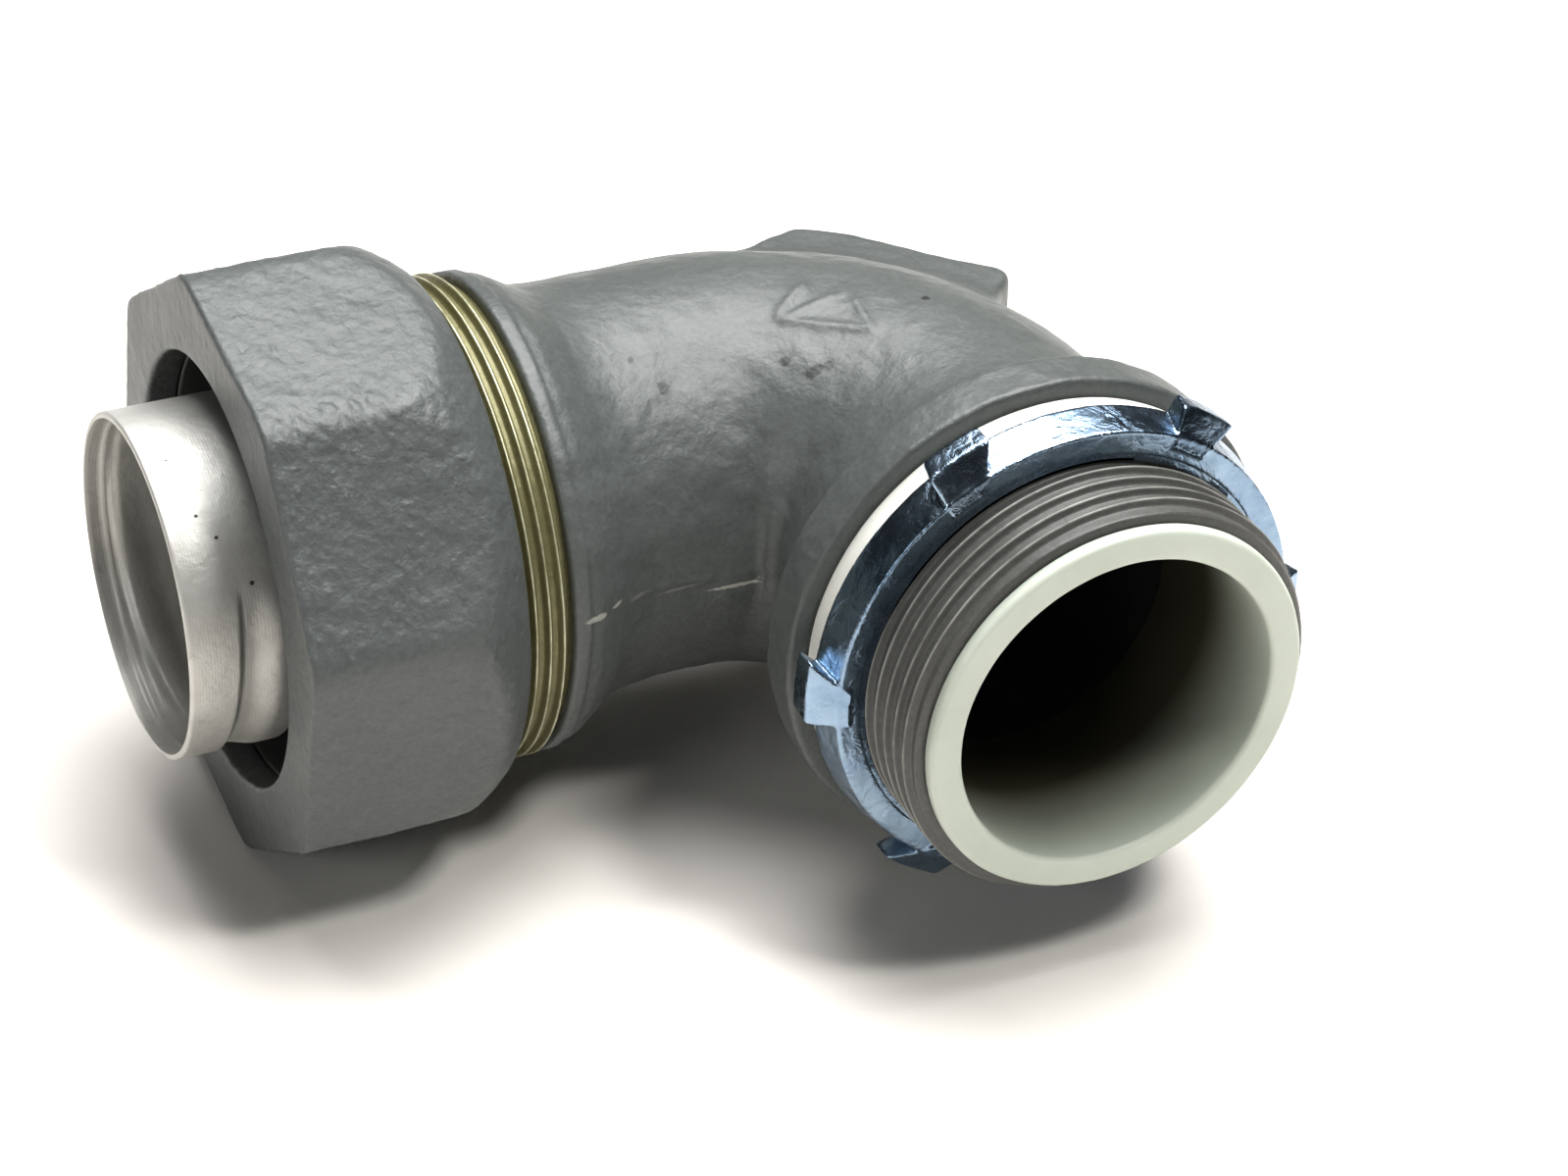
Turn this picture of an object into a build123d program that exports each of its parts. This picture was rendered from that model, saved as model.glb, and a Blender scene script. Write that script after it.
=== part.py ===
# 90 degree liquid-tight connector for 1-1/2 inch flexible metal conduit.
#
# Frame: millimetres, +Z up, the fitting lies on its side with both axes in a
# horizontal plane.  The origin is the centre of the hub's sealing face.  The
# hub axis runs along -Y (out of the hub), the gland axis along -X (out of the
# gland) at y = AX.
import os
from math import cos, sin, radians, pi, tan, sqrt
from build123d import *

os.makedirs("parts", exist_ok=True)

# ---------------------------------------------------------------- dimensions
AX = 41.4              # hub sealing face to the gland axis
BEND_R = 24.0          # centreline radius of the wire passage
PASSAGE_R = 19.0       # wire passage in the casting

# hub end (along -Y)
HUB_END = 18.7         # sealing face to the end of the hub thread
HUB_THREAD_R = 24.13   # 1-1/2 inch trade size, outside diameter 48.26
HUB_PITCH = 25.4 / 11.5
HUB_Z0 = -1.5          # height at which the thread helix crosses angle 0
CREST = 0.13           # half the width of a thread crest
HUB_DEPTH = 1.55
HUB_BORE_R = 20.25     # counterbore that takes the throat bushing
HUB_BORE_DEPTH = 3.5   # how far that counterbore goes past the sealing face
FLANGE_R = 28.7
FLANGE_T = 5.4

# gland end (along -X), distances from the crossing of the two axes
GL_MOUTH = 66.0
GL_THREAD_R = 27.6
GL_PITCH = 25.4 / 16
GL_DEPTH = 1.05
GL_THREAD_END = 48.6   # inner end of the thread
GL_Z0 = 46.4           # height at which the thread helix crosses angle 0
COLLAR_R = 28.3
COLLAR_OUT = 47.7
COLLAR_IN = 45.6
MOUTH_R = 25.05        # bore that takes the ferrule's flange and the ring's nose
SEAT = 57.4            # depth of that bore

# gland nut
NUT_FACE = 79.4
NUT_BACK = 53.7
NUT_FLAT = 31.9        # half the size across the eight flats
NUT_CORNER_R = 34.1
NUT_LEAD = 11.0        # angle of the first corner, from -Y towards +Z
NUT_OPEN_R = 24.5
NUT_LIP = 3.5
NUT_CAVITY_R = 27.3
NUT_CAVITY_END = 70.2
NUT_BORE_R = 26.8
NUT_ROOT_R = 27.95

# compression ring
RING_OUT = 75.7
RING_IN = 66.6
RING_R = 26.5
RING_NOSE_R = 24.92
RING_BORE_R = 24.35

# ferrule
FER_RIM = 88.3
FER_R = 19.45
FER_IN_R = 18.1
FER_FOOT = 57.45
FER_CUP = 60.0
FER_CUP_R = 24.9
FER_CUP_IN_R = 24.2
FER_PITCH = 7.0
FER_GROOVE = 0.8

# throat bushing
BUSH_FRONT = 20.4
BUSH_LIP_R = 22.3
BUSH_R = 20.2
BUSH_BORE_R = 18.6
BUSH_IN = 3.4

# hub sealing ring and locknut
SEAL_R = 27.1
SEAL_IN_R = 24.4
SEAL_T = 3.6
LN_BACK = 3.7
LN_FRONT = 8.5
LN_R_FRONT = 27.4
LN_R_BACK = 28.3
LN_BORE_R = 22.8
LN_ROOT_R = 24.45
LUG_R = 30.4
LUG_LEAD = 57.0        # angle of the first of six lugs, from +X towards +Z

# wrench pad on the heel
PAD_HALF_L = 14.0
PAD_HALF_Z = 16.0
PAD_FACE = 52.2        # distance from the bend's centre

# ------------------------------------------------------------------- helpers
# "gland" tools are drawn along +Z with z = distance along the gland axis from
# the crossing point; "hub" tools with z = distance out of the sealing face.
GLAND = Plane(origin=(0, AX, 0), x_dir=(0, 0, 1), z_dir=(-1, 0, 0))
HUB = Plane(origin=(0, 0, 0), x_dir=(1, 0, 0), z_dir=(0, -1, 0))


def turned(points):
    """Solid of revolution about +Z from (radius, z) points."""
    return revolve(make_face(Plane.XZ * Polyline(*[(r, z) for r, z in points], close=True)), Axis.Z, 360)


def tube(r0, r1, z0, z1):
    return turned([(r0, z0), (r1, z0), (r1, z1), (r0, z1)])


def disc(r, z0, z1):
    return Pos(0, 0, z0) * Cylinder(r, z1 - z0, align=(Align.CENTER, Align.CENTER, Align.MIN))


def helical(r_base, r_tip, half_base, half_tip, pitch, z0, z1, lead=0.0, into=0.04, past=0.0):
    """Right-hand helical rib: a trapezoid from r_base to r_tip, carried a little into its base."""
    out = 1 if r_tip > r_base else -1
    slope = (half_tip - half_base) / abs(r_tip - r_base)
    ra, ha = r_base - into * out, half_base - slope * into
    rb, hb = r_tip + past * out, max(half_tip + slope * past, 0.02)
    path = Pos(0, 0, z0) * Rot(0, 0, lead) * Helix(pitch=pitch, height=z1 - z0, radius=r_base)
    a = radians(lead)
    pl = Plane(origin=path @ 0, x_dir=Vector(cos(a), sin(a), 0), z_dir=path % 0)
    face = make_face(pl * Polyline((ra - r_base, -ha), (rb - r_base, -hb), (rb - r_base, hb), (ra - r_base, ha), close=True))
    return sweep(face, path=path, is_frenet=True)


def put(part, plane):
    return plane.location * part


def write(part, name, colour):
    part.label = name
    part.color = Color(*colour)
    export_step(part, f"parts/{name}.step")


# ---------------------------------------------------------------- elbow body
def section(phi, r, off, along=0.0):
    """Disc across the path. phi 0 = gland side, 90 = hub side of the bend;
    along = distance before (gland) or after (hub) the bend; off = outward
    shift of the section's centre."""
    a = radians(phi)
    cx, cy = -BEND_R + (BEND_R + off) * sin(a), AX - BEND_R + (BEND_R + off) * cos(a)
    tx, ty = cos(a), -sin(a)
    cx, cy = cx + tx * along, cy + ty * along
    pl = Plane(origin=(cx, cy, 0), x_dir=(0, 0, 1), z_dir=(tx, ty, 0))
    return pl * Circle(r)


skin = loft([
    section(0, COLLAR_R, 0.0, -(COLLAR_IN - BEND_R)),
    section(0, 25.9, 0.1, -(43.4 - BEND_R)),
    section(0, 24.3, 0.8, -(40.6 - BEND_R)),
    section(0, 23.6, 1.6, -(37.0 - BEND_R)),
    section(0, 23.5, 2.0, -(31.0 - BEND_R)),
    section(0, 23.6, 1.9, 0),
    section(22, 23.7, 1.8, 0),
    section(45, 23.8, 1.6, 0),
    section(68, 23.6, 1.6, 0),
    section(90, 23.4, 1.4, 0),
    section(90, 23.9, 0.9, 4.0),
    section(90, 25.6, 0.3, 8.0),
    section(90, 28.0, 0.0, AX - BEND_R - FLANGE_T),
])

collar = put(tube(0.01, COLLAR_R, COLLAR_IN - 0.02, COLLAR_OUT), GLAND)
barrel = put(turned([
    (0, COLLAR_OUT - 0.5), (GL_THREAD_R - GL_DEPTH, COLLAR_OUT - 0.5),
    (GL_THREAD_R - GL_DEPTH, GL_MOUTH - 0.2), (GL_THREAD_R - GL_DEPTH - 0.2, GL_MOUTH), (0, GL_MOUTH)]), GLAND)
flange = put(turned([
    (0, -FLANGE_T - 0.02), (28.0, -FLANGE_T - 0.02), (FLANGE_R, -FLANGE_T + 0.8),
    (FLANGE_R, -0.5), (FLANGE_R - 0.5, 0), (0, 0)]), HUB)
hub_stub = put(turned([
    (0, -0.5), (HUB_THREAD_R - HUB_DEPTH, -0.5), (HUB_THREAD_R - HUB_DEPTH, HUB_END - 0.2),
    (HUB_THREAD_R - HUB_DEPTH - 0.2, HUB_END), (0, HUB_END)]), HUB)

# wrench pad: a block with a crowned face on the heel, rounded at its corners
pad_pl = Plane(origin=(-BEND_R, AX - BEND_R, 0), x_dir=(0, 0, 1), z_dir=(1 / sqrt(2), 1 / sqrt(2), 0))
pad = pad_pl.location * (Pos(0, 0, 30) * Box(2 * PAD_HALF_Z, 2 * PAD_HALF_L, 30, align=(Align.CENTER, Align.CENTER, Align.MIN)))
pad = pad & (Pos(-BEND_R, AX - BEND_R, 0) * Cylinder(PAD_FACE, 60))
pad = fillet(pad.edges().filter_by(Axis.Z), 3.0)

body = skin + collar + barrel + flange + hub_stub + pad

# wire passage and seats
passage = put(disc(PASSAGE_R, BEND_R, GL_MOUTH + 1), GLAND)
bend = Pos(-BEND_R, AX - BEND_R, 0) * revolve(Plane.XZ * Pos(BEND_R, 0) * Circle(PASSAGE_R), Axis.Z, 90)
throat = put(disc(PASSAGE_R, -(AX - BEND_R), HUB_END + 1), HUB)
hub_seat = put(disc(HUB_BORE_R, -HUB_BORE_DEPTH, HUB_END + 1), HUB)
mouth = put(turned([
    (0, SEAT), (MOUTH_R, SEAT), (MOUTH_R, GL_MOUTH - 2.5), (26.2, GL_MOUTH + 0.01), (26.2, GL_MOUTH + 1), (0, GL_MOUTH + 1)]), GLAND)
body = body - passage - bend - throat - hub_seat - mouth

# 60 degree threads
t30 = tan(radians(30))
gl_rib = helical(GL_THREAD_R - GL_DEPTH, GL_THREAD_R, CREST + GL_DEPTH * t30, CREST, GL_PITCH, GL_Z0, GL_MOUTH + GL_PITCH)
gl_rib = gl_rib & tube(15, 40, GL_THREAD_END, GL_MOUTH - 0.6)
hub_rib = helical(HUB_THREAD_R - HUB_DEPTH, HUB_THREAD_R, CREST + HUB_DEPTH * t30, CREST, HUB_PITCH, HUB_Z0, HUB_END + HUB_PITCH)
hub_rib = hub_rib & tube(15, 40, 1.6, HUB_END - 0.6)
body = body + put(gl_rib, GLAND)
body = body + put(hub_rib, HUB)
write(body, "elbow_body", (0.45, 0.47, 0.46))

# ------------------------------------------------------------ throat bushing
bush = turned([
    (BUSH_BORE_R, -BUSH_IN), (BUSH_R, -BUSH_IN), (BUSH_R, HUB_END + 0.1), (BUSH_LIP_R, HUB_END + 0.1),
    (BUSH_LIP_R, BUSH_FRONT - 0.5), (BUSH_LIP_R - 0.5, BUSH_FRONT), (BUSH_BORE_R + 0.5, BUSH_FRONT),
    (BUSH_BORE_R, BUSH_FRONT - 0.5)])
write(put(bush, HUB), "throat_bushing", (0.86, 0.87, 0.79))

# ------------------------------------------------------------------ gland nut
blank = turned([
    (0, NUT_BACK), (29.6, NUT_BACK), (30.6, NUT_BACK + 0.7), (31.6, NUT_BACK + 2.0),
    (32.6, NUT_BACK + 3.6), (33.5, NUT_BACK + 5.6), (NUT_CORNER_R, NUT_BACK + 8.2),
    (NUT_CORNER_R, NUT_FACE - 0.5), (NUT_CORNER_R - 0.5, NUT_FACE), (0, NUT_FACE)])
# in the gland plane x is +Z and y is  z_dir x x_dir = +Y, so -Y towards +Z is (x, -y)
corner = NUT_FLAT / cos(pi / 8)
octo = [(corner * sin(radians(NUT_LEAD + 45 * k)), -corner * cos(radians(NUT_LEAD + 45 * k))) for k in range(8)]
prism = extrude(Plane.XY.offset(NUT_BACK - 1) * make_face(Polyline(*octo, close=True)), NUT_FACE - NUT_BACK + 2)
nut = blank & prism
nut = nut - disc(NUT_OPEN_R, 0, NUT_FACE + 1)
nut = nut - disc(NUT_CAVITY_R, NUT_CAVITY_END - 0.1, NUT_FACE - NUT_LIP)
nut = nut - turned([
    (0, NUT_BACK - 1), (28.9, NUT_BACK - 1), (28.9, NUT_BACK), (NUT_ROOT_R, NUT_BACK + 0.95),
    (NUT_ROOT_R, NUT_CAVITY_END + 0.1), (0, NUT_CAVITY_END + 0.1)])
# the nut's thread ridge runs in the body's groove, half a pitch along
nut_half = GL_PITCH / 2 - 0.08
nut_rib = helical(NUT_ROOT_R, NUT_BORE_R, nut_half, nut_half - (NUT_ROOT_R - NUT_BORE_R) * t30, GL_PITCH,
                  GL_Z0 + GL_PITCH * 3.5, NUT_CAVITY_END + GL_PITCH)
nut_rib = nut_rib & tube(15, 40, NUT_BACK + 1.2, NUT_CAVITY_END - 0.4)
nut = nut + nut_rib
write(put(nut, GLAND), "gland_nut", (0.42, 0.45, 0.45))

# ----------------------------------------------------------- compression ring
ring = turned([
    (RING_BORE_R, RING_IN), (RING_NOSE_R, RING_IN), (RING_NOSE_R, RING_IN + 2.1), (RING_R, RING_IN + 4.9),
    (RING_R, RING_OUT), (RING_BORE_R + 0.4, RING_OUT), (RING_BORE_R, RING_OUT - 0.4)])
write(put(ring, GLAND), "compression_ring", (0.92, 0.9, 0.82))

# -------------------------------------------------------------------- ferrule
fer = turned([
    (FER_IN_R, FER_FOOT), (FER_CUP_R, FER_FOOT), (FER_CUP_R, FER_CUP), (FER_CUP_IN_R, FER_CUP),
    (FER_CUP_IN_R, FER_FOOT + 1.2), (FER_R, FER_FOOT + 1.2), (FER_R, FER_RIM - 0.35), (FER_R - 0.35, FER_RIM),
    (FER_R - 0.75, FER_RIM), (FER_R - 0.75, FER_RIM - 2.2), (FER_IN_R, FER_RIM - 2.9)])
fer_cut = helical(FER_R, FER_R - FER_GROOVE, 1.2, 0.6, FER_PITCH, 62.5, 81.0, lead=150, into=0.3, past=0.0)
fer = fer - fer_cut
write(put(fer, GLAND), "ferrule", (0.85, 0.86, 0.87))

# ----------------------------------------------------------- hub sealing ring
seal = turned([
    (SEAL_IN_R, 0.03), (SEAL_R - 0.3, 0.03), (SEAL_R, 0.33), (SEAL_R, SEAL_T - 0.5), (SEAL_R - 0.5, SEAL_T), (SEAL_IN_R, SEAL_T)])
write(put(seal, HUB), "hub_sealing_ring", (0.95, 0.95, 0.93))

# -------------------------------------------------------------------- locknut
ln = turned([
    (LN_ROOT_R, LN_BACK), (LN_R_BACK - 0.3, LN_BACK), (LN_R_BACK, LN_BACK + 0.4), (LN_R_FRONT + 0.2, LN_FRONT - 0.3),
    (LN_R_FRONT - 0.1, LN_FRONT), (LN_ROOT_R + 0.3, LN_FRONT), (LN_ROOT_R, LN_FRONT - 0.3)])
lug_zone = turned([(26.0, LN_BACK), (LUG_R - 0.4, LN_BACK), (LUG_R, LN_BACK + 0.5), (LUG_R, LN_FRONT - 2.5),
                   (27.3, LN_FRONT - 0.1), (26.0, LN_FRONT - 0.1)])
lugs = []
for k in range(6):
    a0 = LUG_LEAD + 60 * k
    # in the hub plane y is z_dir x x_dir = +Z, so x towards y is +X towards +Z
    pts = [(r * cos(radians(a0 + d)), r * sin(radians(a0 + d))) for r, d in
           ((25.9, -7.5), (28.2, -7.5), (30.9, -4.0), (31.2, 5.0), (30.2, 7.0), (25.9, 7.0))]
    lug = extrude(Plane.XY.offset(LN_BACK - 1) * make_face(Polyline(*pts, close=True)), LN_FRONT - LN_BACK + 2)
    lugs.append(lug & lug_zone)
for lug in lugs:
    ln = ln + lug
ln_half = HUB_PITCH / 2 - 0.09
ln_rib = helical(LN_ROOT_R, LN_BORE_R, ln_half, ln_half - (LN_ROOT_R - LN_BORE_R) * t30, HUB_PITCH,
                 HUB_Z0 + HUB_PITCH * 1.5, HUB_Z0 + HUB_PITCH * 5.5)
ln_rib = ln_rib & tube(15, 40, LN_BACK + 0.3, LN_FRONT - 0.5)
ln = ln + ln_rib
write(put(ln, HUB), "locknut", (0.62, 0.68, 0.75))
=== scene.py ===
import math
import bpy
import bmesh
import numpy as np
from mathutils import Matrix, Vector


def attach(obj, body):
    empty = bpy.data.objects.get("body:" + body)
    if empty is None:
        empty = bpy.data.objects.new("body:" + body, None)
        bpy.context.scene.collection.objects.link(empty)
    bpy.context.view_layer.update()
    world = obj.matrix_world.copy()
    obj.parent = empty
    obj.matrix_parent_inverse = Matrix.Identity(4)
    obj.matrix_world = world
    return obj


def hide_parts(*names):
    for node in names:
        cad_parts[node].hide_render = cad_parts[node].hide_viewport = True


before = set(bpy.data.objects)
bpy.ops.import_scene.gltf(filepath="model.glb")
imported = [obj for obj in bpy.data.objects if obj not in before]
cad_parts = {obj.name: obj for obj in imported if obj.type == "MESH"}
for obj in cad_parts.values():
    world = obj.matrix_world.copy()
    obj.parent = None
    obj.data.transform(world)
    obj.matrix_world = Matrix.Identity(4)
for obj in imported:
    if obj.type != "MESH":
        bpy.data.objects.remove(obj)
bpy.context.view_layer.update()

TAU = 2 * math.pi
AX = 41.4
BEND_R = 24.0
GL_P = 25.4 / 16
HUB_P = 25.4 / 11.5
GL_Z0 = 46.4
HUB_Z0 = -1.5

# ------------------------------------------------------------------ camera
CAM_R = np.array([[0.9045385001272516, -0.4248459357216459, 0.0362771648332846],
                  [0.20667783040275123, 0.5112687303217851, 0.8341993525621807],
                  [0.37295358452165833, 0.747067745452813, -0.5502684867376082]])
CAM_POS = np.array([-184.7692927, -351.3036768 + AX, 239.07908032]) / 1000
cam_data = bpy.data.cameras.new("camera")
cam_data.sensor_fit = "HORIZONTAL"
cam_data.sensor_width = 36.0
cam_data.lens = 4025.8878850901147 * 36.0 / 1599
cam_data.clip_start = 0.01
cam_data.clip_end = 20
cam = bpy.data.objects.new("camera", cam_data)
bpy.context.collection.objects.link(cam)
m = Matrix.Identity(4)
for i in range(3):
    m[i][0], m[i][1], m[i][2], m[i][3] = CAM_R[0][i], CAM_R[1][i], -CAM_R[2][i], CAM_POS[i]
cam.matrix_world = m
bpy.context.scene.camera = cam

# ------------------------------------------------------------- mesh helpers
def gland(r, th, z):
    """Gland-side polar coordinates (mm) to the frame (m)."""
    return np.stack([-z, AX + r * np.sin(th), r * np.cos(th)], -1) / 1000


def hub(r, th, z):
    return np.stack([r * np.cos(th), -z, r * np.sin(th)], -1) / 1000


def lattice(ix, iy, iz, seed):
    h = (ix * 374761393 + iy * 668265263 + iz * 2147483647 + seed * 1274126177) & 0xFFFFFFFF
    h = ((h ^ (h >> 13)) * 1274126177) & 0xFFFFFFFF
    h = h ^ (h >> 16)
    return (h & 0xFFFFFF).astype(np.float64) / 0xFFFFFF * 2 - 1


def noise(p, size, seed):
    """Smooth value noise, -1 to 1, at points p (mm)."""
    q = np.asarray(p, dtype=np.float64) / size + 1000.0
    i = np.floor(q).astype(np.int64)
    f = q - i
    f = f * f * (3 - 2 * f)
    out = 0
    for dx in (0, 1):
        for dy in (0, 1):
            for dz in (0, 1):
                w = (f[..., 0] if dx else 1 - f[..., 0]) * (f[..., 1] if dy else 1 - f[..., 1]) * (f[..., 2] if dz else 1 - f[..., 2])
                out = out + w * lattice(i[..., 0] + dx, i[..., 1] + dy, i[..., 2] + dz, seed)
    return out


def make_object(name, verts, faces, smooth=True, weld=None, angle=None):
    me = bpy.data.meshes.new(name)
    me.from_pydata([tuple(v) for v in verts], [], [tuple(int(i) for i in f) for f in faces])
    bm = bmesh.new()
    bm.from_mesh(me)
    if weld:
        bmesh.ops.remove_doubles(bm, verts=bm.verts, dist=weld)
        bmesh.ops.dissolve_degenerate(bm, dist=weld * 0.5, edges=bm.edges)
        loose = [v for v in bm.verts if not v.link_faces]
        if loose:
            bmesh.ops.delete(bm, geom=loose, context="VERTS")
    bmesh.ops.recalc_face_normals(bm, faces=bm.faces)
    bm.to_mesh(me)
    bm.free()
    me.polygons.foreach_set("use_smooth", [smooth] * len(me.polygons))
    me.update()
    ob = bpy.data.objects.new(name, me)
    bpy.context.collection.objects.link(ob)
    if angle is not None:
        me.set_sharp_from_angle(angle=math.radians(angle))
    return ob


def rounded(points, seg=5, step=1.0):
    """Closed (r, z, fillet radius) profile to a fine closed list of (r, z)."""
    out = []
    n = len(points)
    P = [np.array(p[:2], float) for p in points]
    for i in range(n):
        a, b, c = P[i - 1], P[i], P[(i + 1) % n]
        rad = points[i][2] if len(points[i]) > 2 else 0.0
        u, v = a - b, c - b
        lu, lv = np.linalg.norm(u), np.linalg.norm(v)
        u, v = u / lu, v / lv
        ang = math.acos(float(np.clip(u @ v, -1, 1)))
        if rad <= 0 or ang > math.pi - 0.02:
            out.append(b)
            continue
        d = min(rad / math.tan(ang / 2), 0.48 * lu, 0.48 * lv)
        r = d * math.tan(ang / 2)
        centre = b + (u + v) / np.linalg.norm(u + v) * (r / math.sin(ang / 2))
        p0, p1 = b + u * d, b + v * d
        a0 = math.atan2(*(p0 - centre)[::-1])
        a1 = math.atan2(*(p1 - centre)[::-1])
        da = (a1 - a0 + math.pi) % TAU - math.pi
        for k in range(seg + 1):
            t = a0 + da * k / seg
            out.append(centre + r * np.array([math.cos(t), math.sin(t)]))
    fine = []
    for i in range(len(out)):
        a, b = out[i], out[(i + 1) % len(out)]
        k = max(1, int(np.linalg.norm(b - a) / step))
        for j in range(k):
            fine.append(a + (b - a) * j / k)
    return np.array(fine)


def ring(name, place, R, Z, TH, weld=2e-6, angle=None):
    """Torus grid from R, Z of shape (rows, columns + 1); the last column repeats the first."""
    rows, cols = R.shape
    V = place(R, TH[None, :] + 0 * R, Z).reshape(-1, 3)
    i = np.arange(rows)[:, None]
    j = np.arange(cols - 1)[None, :]
    i2 = (i + 1) % rows
    F = np.stack([i * cols + j + 0 * i, i2 * cols + j, i2 * cols + j + 1, i * cols + j + 1], -1).reshape(-1, 4)
    return make_object(name, V, F, weld=weld, angle=angle)


def lathe(name, place, points, cols=256, seg=5, step=1.0, wobble=0.0, seed=1, angle=None):
    prof = rounded(points, seg, step)
    TH = np.linspace(0, TAU, cols + 1)
    R = np.repeat(prof[:, :1], cols + 1, 1)
    Z = np.repeat(prof[:, 1:], cols + 1, 1)
    if wobble:
        q = np.stack([R * np.cos(TH), R * np.sin(TH), Z], -1)
        R = R + wobble * noise(q, 6.0, seed) + wobble * 0.5 * noise(q, 2.2, seed + 1)
        R[:, -1] = R[:, 0]
    return ring(name, place, R, Z, TH, angle=angle)


def thread_rows(TH, za, zb, pitch, z_at0, r_root, r_crest, n=16, crest=0.13, env=None, peak=1.0):
    """Rows that follow the helix, clamped to za..zb. Crest centred on z = z_at0 + pitch*th/2pi."""
    dz = pitch / n
    k0 = math.floor((za - pitch - z_at0) / dz)
    k1 = math.ceil((zb - z_at0) / dz) + 1
    k = np.arange(k0, k1 + 1)
    raw = z_at0 + k[:, None] * dz + pitch * TH[None, :] / TAU
    ph = np.abs(((k * dz + pitch / 2) % pitch) - pitch / 2)       # distance from the crest centre
    depth = abs(r_crest - r_root)
    sign = 1 if r_crest > r_root else -1
    half_base = crest + depth * math.tan(math.radians(30))
    g = np.clip((half_base - ph) / (half_base - crest), 0, 1)
    g = (g * g * (3 - 2 * g) * 0.35 + g * 0.65) ** peak
    r = r_root + sign * depth * g[:, None] + 0 * raw
    z = np.clip(raw, za, zb)
    if env is not None:
        e = np.interp(z, env[0], env[1])
        r = np.minimum(r, e) if sign > 0 else np.maximum(r, e)
    return r, z


# ------------------------------------------------------- signed-distance mesh
def surface_nets(f, lo, hi, h, relax=3):
    lo, hi = np.array(lo, float), np.array(hi, float)
    n = np.ceil((hi - lo) / h).astype(int) + 1
    xs = [lo[a] + h * np.arange(n[a]) for a in range(3)]
    F = np.empty(n, np.float32)
    for i in range(0, n[0], 16):
        X, Y, Z = np.meshgrid(xs[0][i:i + 16], xs[1], xs[2], indexing="ij")
        F[i:i + 16] = f(np.stack([X, Y, Z], -1))
    inside = F < 0
    c = [inside[a:n[0] - 1 + a, b:n[1] - 1 + b, d:n[2] - 1 + d] for a in (0, 1) for b in (0, 1) for d in (0, 1)]
    anyin = np.logical_or.reduce(c)
    allin = np.logical_and.reduce(c)
    cell = anyin & ~allin
    idx = -np.ones(cell.shape, np.int64)
    ijk = np.argwhere(cell)
    idx[cell] = np.arange(len(ijk))
    acc = np.zeros((len(ijk), 3))
    cnt = np.zeros(len(ijk))
    corners = [(a, b, d) for a in (0, 1) for b in (0, 1) for d in (0, 1)]
    val = {q: F[ijk[:, 0] + q[0], ijk[:, 1] + q[1], ijk[:, 2] + q[2]].astype(float) for q in corners}
    for q in corners:
        for ax in range(3):
            if q[ax]:
                continue
            w = list(q)
            w[ax] = 1
            w = tuple(w)
            a, b = val[q], val[w]
            x = (a < 0) != (b < 0)
            t = np.where(x, a / np.where(x, a - b, 1), 0)
            pos = np.zeros((len(ijk), 3)) + np.array(q)
            pos[:, ax] += t
            acc[x] += pos[x]
            cnt[x] += 1
    V = lo + h * (ijk + acc / cnt[:, None])
    faces = []
    for ax in range(3):
        b, c2 = (ax + 1) % 3, (ax + 2) % 3
        s0 = [slice(0, n[0]), slice(0, n[1]), slice(0, n[2])]
        s1 = list(s0)
        s0[ax], s1[ax] = slice(0, n[ax] - 1), slice(1, n[ax])
        A, B = inside[tuple(s0)], inside[tuple(s1)]
        e = np.argwhere(A != B)
        e = e[(e[:, b] > 0) & (e[:, c2] > 0) & (e[:, b] < n[b] - 1) & (e[:, c2] < n[c2] - 1)]
        flip = ~A[e[:, 0], e[:, 1], e[:, 2]]
        q = []
        for db, dc in ((-1, -1), (0, -1), (0, 0), (-1, 0)):
            w = e.copy()
            w[:, b] += db
            w[:, c2] += dc
            q.append(idx[w[:, 0], w[:, 1], w[:, 2]])
        q = np.stack(q, -1)
        q[flip] = q[flip][:, ::-1]
        faces.append(q[(q >= 0).all(1)])
    faces = np.concatenate(faces)
    base = V.copy()
    e = h * 0.05
    for _ in range(relax):
        d = f(V)
        g = np.stack([(f(V + np.eye(3)[a] * e) - f(V - np.eye(3)[a] * e)) / (2 * e) for a in range(3)], -1)
        V = V - d[:, None] * g / np.maximum((g * g).sum(-1, keepdims=True), 0.05)
        V = base + np.clip(V - base, -0.75 * h, 0.75 * h)
    return V, faces


def smin(a, b, k):
    h = np.clip(0.5 + 0.5 * (b - a) / k, 0, 1)
    return b + (a - b) * h - k * h * (1 - h)


def smax(a, b, k):
    return -smin(-a, -b, k)


# ------------------------------------------------------------- elbow casting
# stations along the path: distance s from the gland end of the skin
S_G = 46.6
L1 = S_G - BEND_R
L2 = BEND_R * math.pi / 2
KS = np.array([-5, 0, 0.8, 2.1, 3.4, 4.9, 7.1, 10.7, 16.7, L1, L1 + L2 * 0.25, L1 + L2 * 0.5, L1 + L2 * 0.75, L1 + L2, L1 + L2 + 4, L1 + L2 + 7.5,
               L1 + L2 + 10.0, L1 + L2 + 12.0, L1 + L2 + 25])
KR = np.array([27.3, 27.3, 27.2, 26.9, 26.2, 25.3, 24.2, 23.6, 23.5, 23.6, 23.75, 23.85, 23.65, 23.4, 23.6, 24.7, 26.2, 28.1, 28.4])
KO = np.array([0, 0, 0, 0.0, 0.05, 0.15, 0.8, 1.6, 2.0, 1.9, 1.8, 1.6, 1.6, 1.4, 0.9, 0.35, 0.1, 0, 0])


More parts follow.
